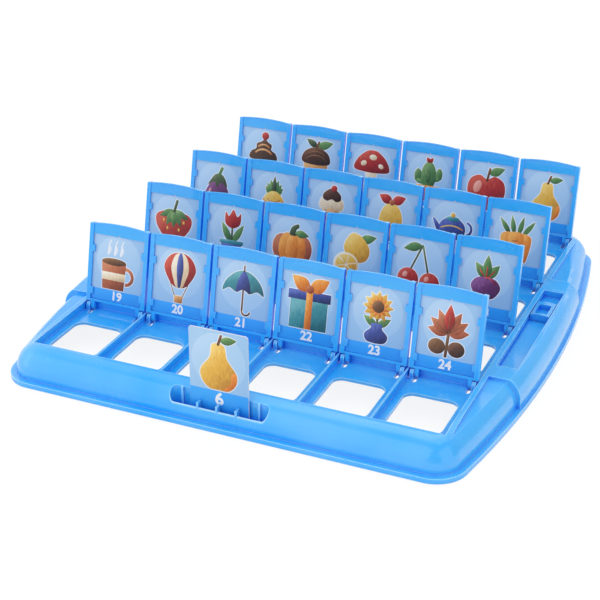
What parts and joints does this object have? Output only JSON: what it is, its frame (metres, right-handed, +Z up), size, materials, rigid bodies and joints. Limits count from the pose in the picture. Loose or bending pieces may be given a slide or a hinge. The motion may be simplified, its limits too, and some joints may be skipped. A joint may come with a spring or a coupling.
{
  "type": "face guessing flip game",
  "caption": "Bowed square game tray with rows of snap-hinged picture flips in walled cells, a loose card in a front pocket and a sliding score marker in a side channel.",
  "frame": {"origin": "bottom centre of the bounding box, on the table under the middle of the tray", "axes": "+X along the rows to the right, +Y from the player to the far side, +Z up from the table"},
  "size_m": [0.2606, 0.263, 0.0596],
  "materials": {
    "tray_plastic": "glossy, slightly translucent injection-moulded plastic",
    "flip_plastic": "glossy, slightly translucent injection-moulded plastic",
    "slider_plastic": "glossy injection-moulded plastic",
    "card": "printed and varnished on the front"
  },
  "bodies": {
    "tray": {"tray": "tray_plastic"},
    "flip_r1c1_body": {"flip_r1c1": "flip_plastic", "card_r1c1": "card"},
    "flip_r1c2_body": {"flip_r1c2": "flip_plastic", "card_r1c2": "card"},
    "flip_r1c3_body": {"flip_r1c3": "flip_plastic", "card_r1c3": "card"},
    "flip_r1c4_body": {"flip_r1c4": "flip_plastic", "card_r1c4": "card"},
    "flip_r1c5_body": {"flip_r1c5": "flip_plastic", "card_r1c5": "card"},
    "flip_r1c6_body": {"flip_r1c6": "flip_plastic", "card_r1c6": "card"},
    "flip_r2c1_body": {"flip_r2c1": "flip_plastic", "card_r2c1": "card"},
    "flip_r2c2_body": {"flip_r2c2": "flip_plastic", "card_r2c2": "card"},
    "flip_r2c3_body": {"flip_r2c3": "flip_plastic", "card_r2c3": "card"},
    "flip_r2c4_body": {"flip_r2c4": "flip_plastic", "card_r2c4": "card"},
    "flip_r2c5_body": {"flip_r2c5": "flip_plastic", "card_r2c5": "card"},
    "flip_r2c6_body": {"flip_r2c6": "flip_plastic", "card_r2c6": "card"},
    "flip_r3c1_body": {"flip_r3c1": "flip_plastic", "card_r3c1": "card"},
    "flip_r3c2_body": {"flip_r3c2": "flip_plastic", "card_r3c2": "card"},
    "flip_r3c3_body": {"flip_r3c3": "flip_plastic", "card_r3c3": "card"},
    "flip_r3c4_body": {"flip_r3c4": "flip_plastic", "card_r3c4": "card"},
    "flip_r3c5_body": {"flip_r3c5": "flip_plastic", "card_r3c5": "card"},
    "flip_r3c6_body": {"flip_r3c6": "flip_plastic", "card_r3c6": "card"},
    "flip_r4c1_body": {"flip_r4c1": "flip_plastic", "card_r4c1": "card"},
    "flip_r4c2_body": {"flip_r4c2": "flip_plastic", "card_r4c2": "card"},
    "flip_r4c3_body": {"flip_r4c3": "flip_plastic", "card_r4c3": "card"},
    "flip_r4c4_body": {"flip_r4c4": "flip_plastic", "card_r4c4": "card"},
    "flip_r4c5_body": {"flip_r4c5": "flip_plastic", "card_r4c5": "card"},
    "flip_r4c6_body": {"flip_r4c6": "flip_plastic", "card_r4c6": "card"},
    "score_slider_body": {"score_slider": "slider_plastic"},
    "loose_card_body": {"loose_card": "card"}
  },
  "joints": [
    {"name": "hinge_r1c1", "type": "hinge", "parent": "tray", "child": "flip_r1c1_body", "pos_m": [-0.09, -0.06495, 0.0145], "axis": [1, 0, 0], "range_deg": [0, 102]},
    {"name": "hinge_r1c2", "type": "hinge", "parent": "tray", "child": "flip_r1c2_body", "pos_m": [-0.054, -0.06495, 0.0145], "axis": [1, 0, 0], "range_deg": [0, 102]},
    {"name": "hinge_r1c3", "type": "hinge", "parent": "tray", "child": "flip_r1c3_body", "pos_m": [-0.018, -0.06495, 0.0145], "axis": [1, 0, 0], "range_deg": [0, 102]},
    {"name": "hinge_r1c4", "type": "hinge", "parent": "tray", "child": "flip_r1c4_body", "pos_m": [0.018, -0.06495, 0.0145], "axis": [1, 0, 0], "range_deg": [0, 102]},
    {"name": "hinge_r1c5", "type": "hinge", "parent": "tray", "child": "flip_r1c5_body", "pos_m": [0.054, -0.06495, 0.0145], "axis": [1, 0, 0], "range_deg": [0, 102]},
    {"name": "hinge_r1c6", "type": "hinge", "parent": "tray", "child": "flip_r1c6_body", "pos_m": [0.09, -0.06495, 0.0145], "axis": [1, 0, 0], "range_deg": [0, 102]},
    {"name": "hinge_r2c1", "type": "hinge", "parent": "tray", "child": "flip_r2c1_body", "pos_m": [-0.09, -0.00415, 0.0145], "axis": [1, 0, 0], "range_deg": [0, 102]},
    {"name": "hinge_r2c2", "type": "hinge", "parent": "tray", "child": "flip_r2c2_body", "pos_m": [-0.054, -0.00415, 0.0145], "axis": [1, 0, 0], "range_deg": [0, 102]},
    {"name": "hinge_r2c3", "type": "hinge", "parent": "tray", "child": "flip_r2c3_body", "pos_m": [-0.018, -0.00415, 0.0145], "axis": [1, 0, 0], "range_deg": [0, 102]},
    {"name": "hinge_r2c4", "type": "hinge", "parent": "tray", "child": "flip_r2c4_body", "pos_m": [0.018, -0.00415, 0.0145], "axis": [1, 0, 0], "range_deg": [0, 102]},
    {"name": "hinge_r2c5", "type": "hinge", "parent": "tray", "child": "flip_r2c5_body", "pos_m": [0.054, -0.00415, 0.0145], "axis": [1, 0, 0], "range_deg": [0, 102]},
    {"name": "hinge_r2c6", "type": "hinge", "parent": "tray", "child": "flip_r2c6_body", "pos_m": [0.09, -0.00415, 0.0145], "axis": [1, 0, 0], "range_deg": [0, 102]},
    {"name": "hinge_r3c1", "type": "hinge", "parent": "tray", "child": "flip_r3c1_body", "pos_m": [-0.09, 0.05015, 0.0145], "axis": [1, 0, 0], "range_deg": [0, 102]},
    {"name": "hinge_r3c2", "type": "hinge", "parent": "tray", "child": "flip_r3c2_body", "pos_m": [-0.054, 0.05015, 0.0145], "axis": [1, 0, 0], "range_deg": [0, 102]},
    {"name": "hinge_r3c3", "type": "hinge", "parent": "tray", "child": "flip_r3c3_body", "pos_m": [-0.018, 0.05015, 0.0145], "axis": [1, 0, 0], "range_deg": [0, 102]},
    {"name": "hinge_r3c4", "type": "hinge", "parent": "tray", "child": "flip_r3c4_body", "pos_m": [0.018, 0.05015, 0.0145], "axis": [1, 0, 0], "range_deg": [0, 102]},
    {"name": "hinge_r3c5", "type": "hinge", "parent": "tray", "child": "flip_r3c5_body", "pos_m": [0.054, 0.05015, 0.0145], "axis": [1, 0, 0], "range_deg": [0, 102]},
    {"name": "hinge_r3c6", "type": "hinge", "parent": "tray", "child": "flip_r3c6_body", "pos_m": [0.09, 0.05015, 0.0145], "axis": [1, 0, 0], "range_deg": [0, 102]},
    {"name": "hinge_r4c1", "type": "hinge", "parent": "tray", "child": "flip_r4c1_body", "pos_m": [-0.09, 0.11375, 0.0145], "axis": [1, 0, 0], "range_deg": [0, 102]},
    {"name": "hinge_r4c2", "type": "hinge", "parent": "tray", "child": "flip_r4c2_body", "pos_m": [-0.054, 0.11375, 0.0145], "axis": [1, 0, 0], "range_deg": [0, 102]},
    {"name": "hinge_r4c3", "type": "hinge", "parent": "tray", "child": "flip_r4c3_body", "pos_m": [-0.018, 0.11375, 0.0145], "axis": [1, 0, 0], "range_deg": [0, 102]},
    {"name": "hinge_r4c4", "type": "hinge", "parent": "tray", "child": "flip_r4c4_body", "pos_m": [0.018, 0.11375, 0.0145], "axis": [1, 0, 0], "range_deg": [0, 102]},
    {"name": "hinge_r4c5", "type": "hinge", "parent": "tray", "child": "flip_r4c5_body", "pos_m": [0.054, 0.11375, 0.0145], "axis": [1, 0, 0], "range_deg": [0, 102]},
    {"name": "hinge_r4c6", "type": "hinge", "parent": "tray", "child": "flip_r4c6_body", "pos_m": [0.09, 0.11375, 0.0145], "axis": [1, 0, 0], "range_deg": [0, 102]},
    {"name": "score_slide", "type": "slide", "parent": "tray", "child": "score_slider_body", "axis": [0, 1, 0], "range_m": [-0.0592, 0.0138]},
    {"name": "loose_card_lift", "type": "slide", "parent": "tray", "child": "loose_card_body", "axis": [0, 0, 1], "range_m": [0, 0.06]}
  ]
}
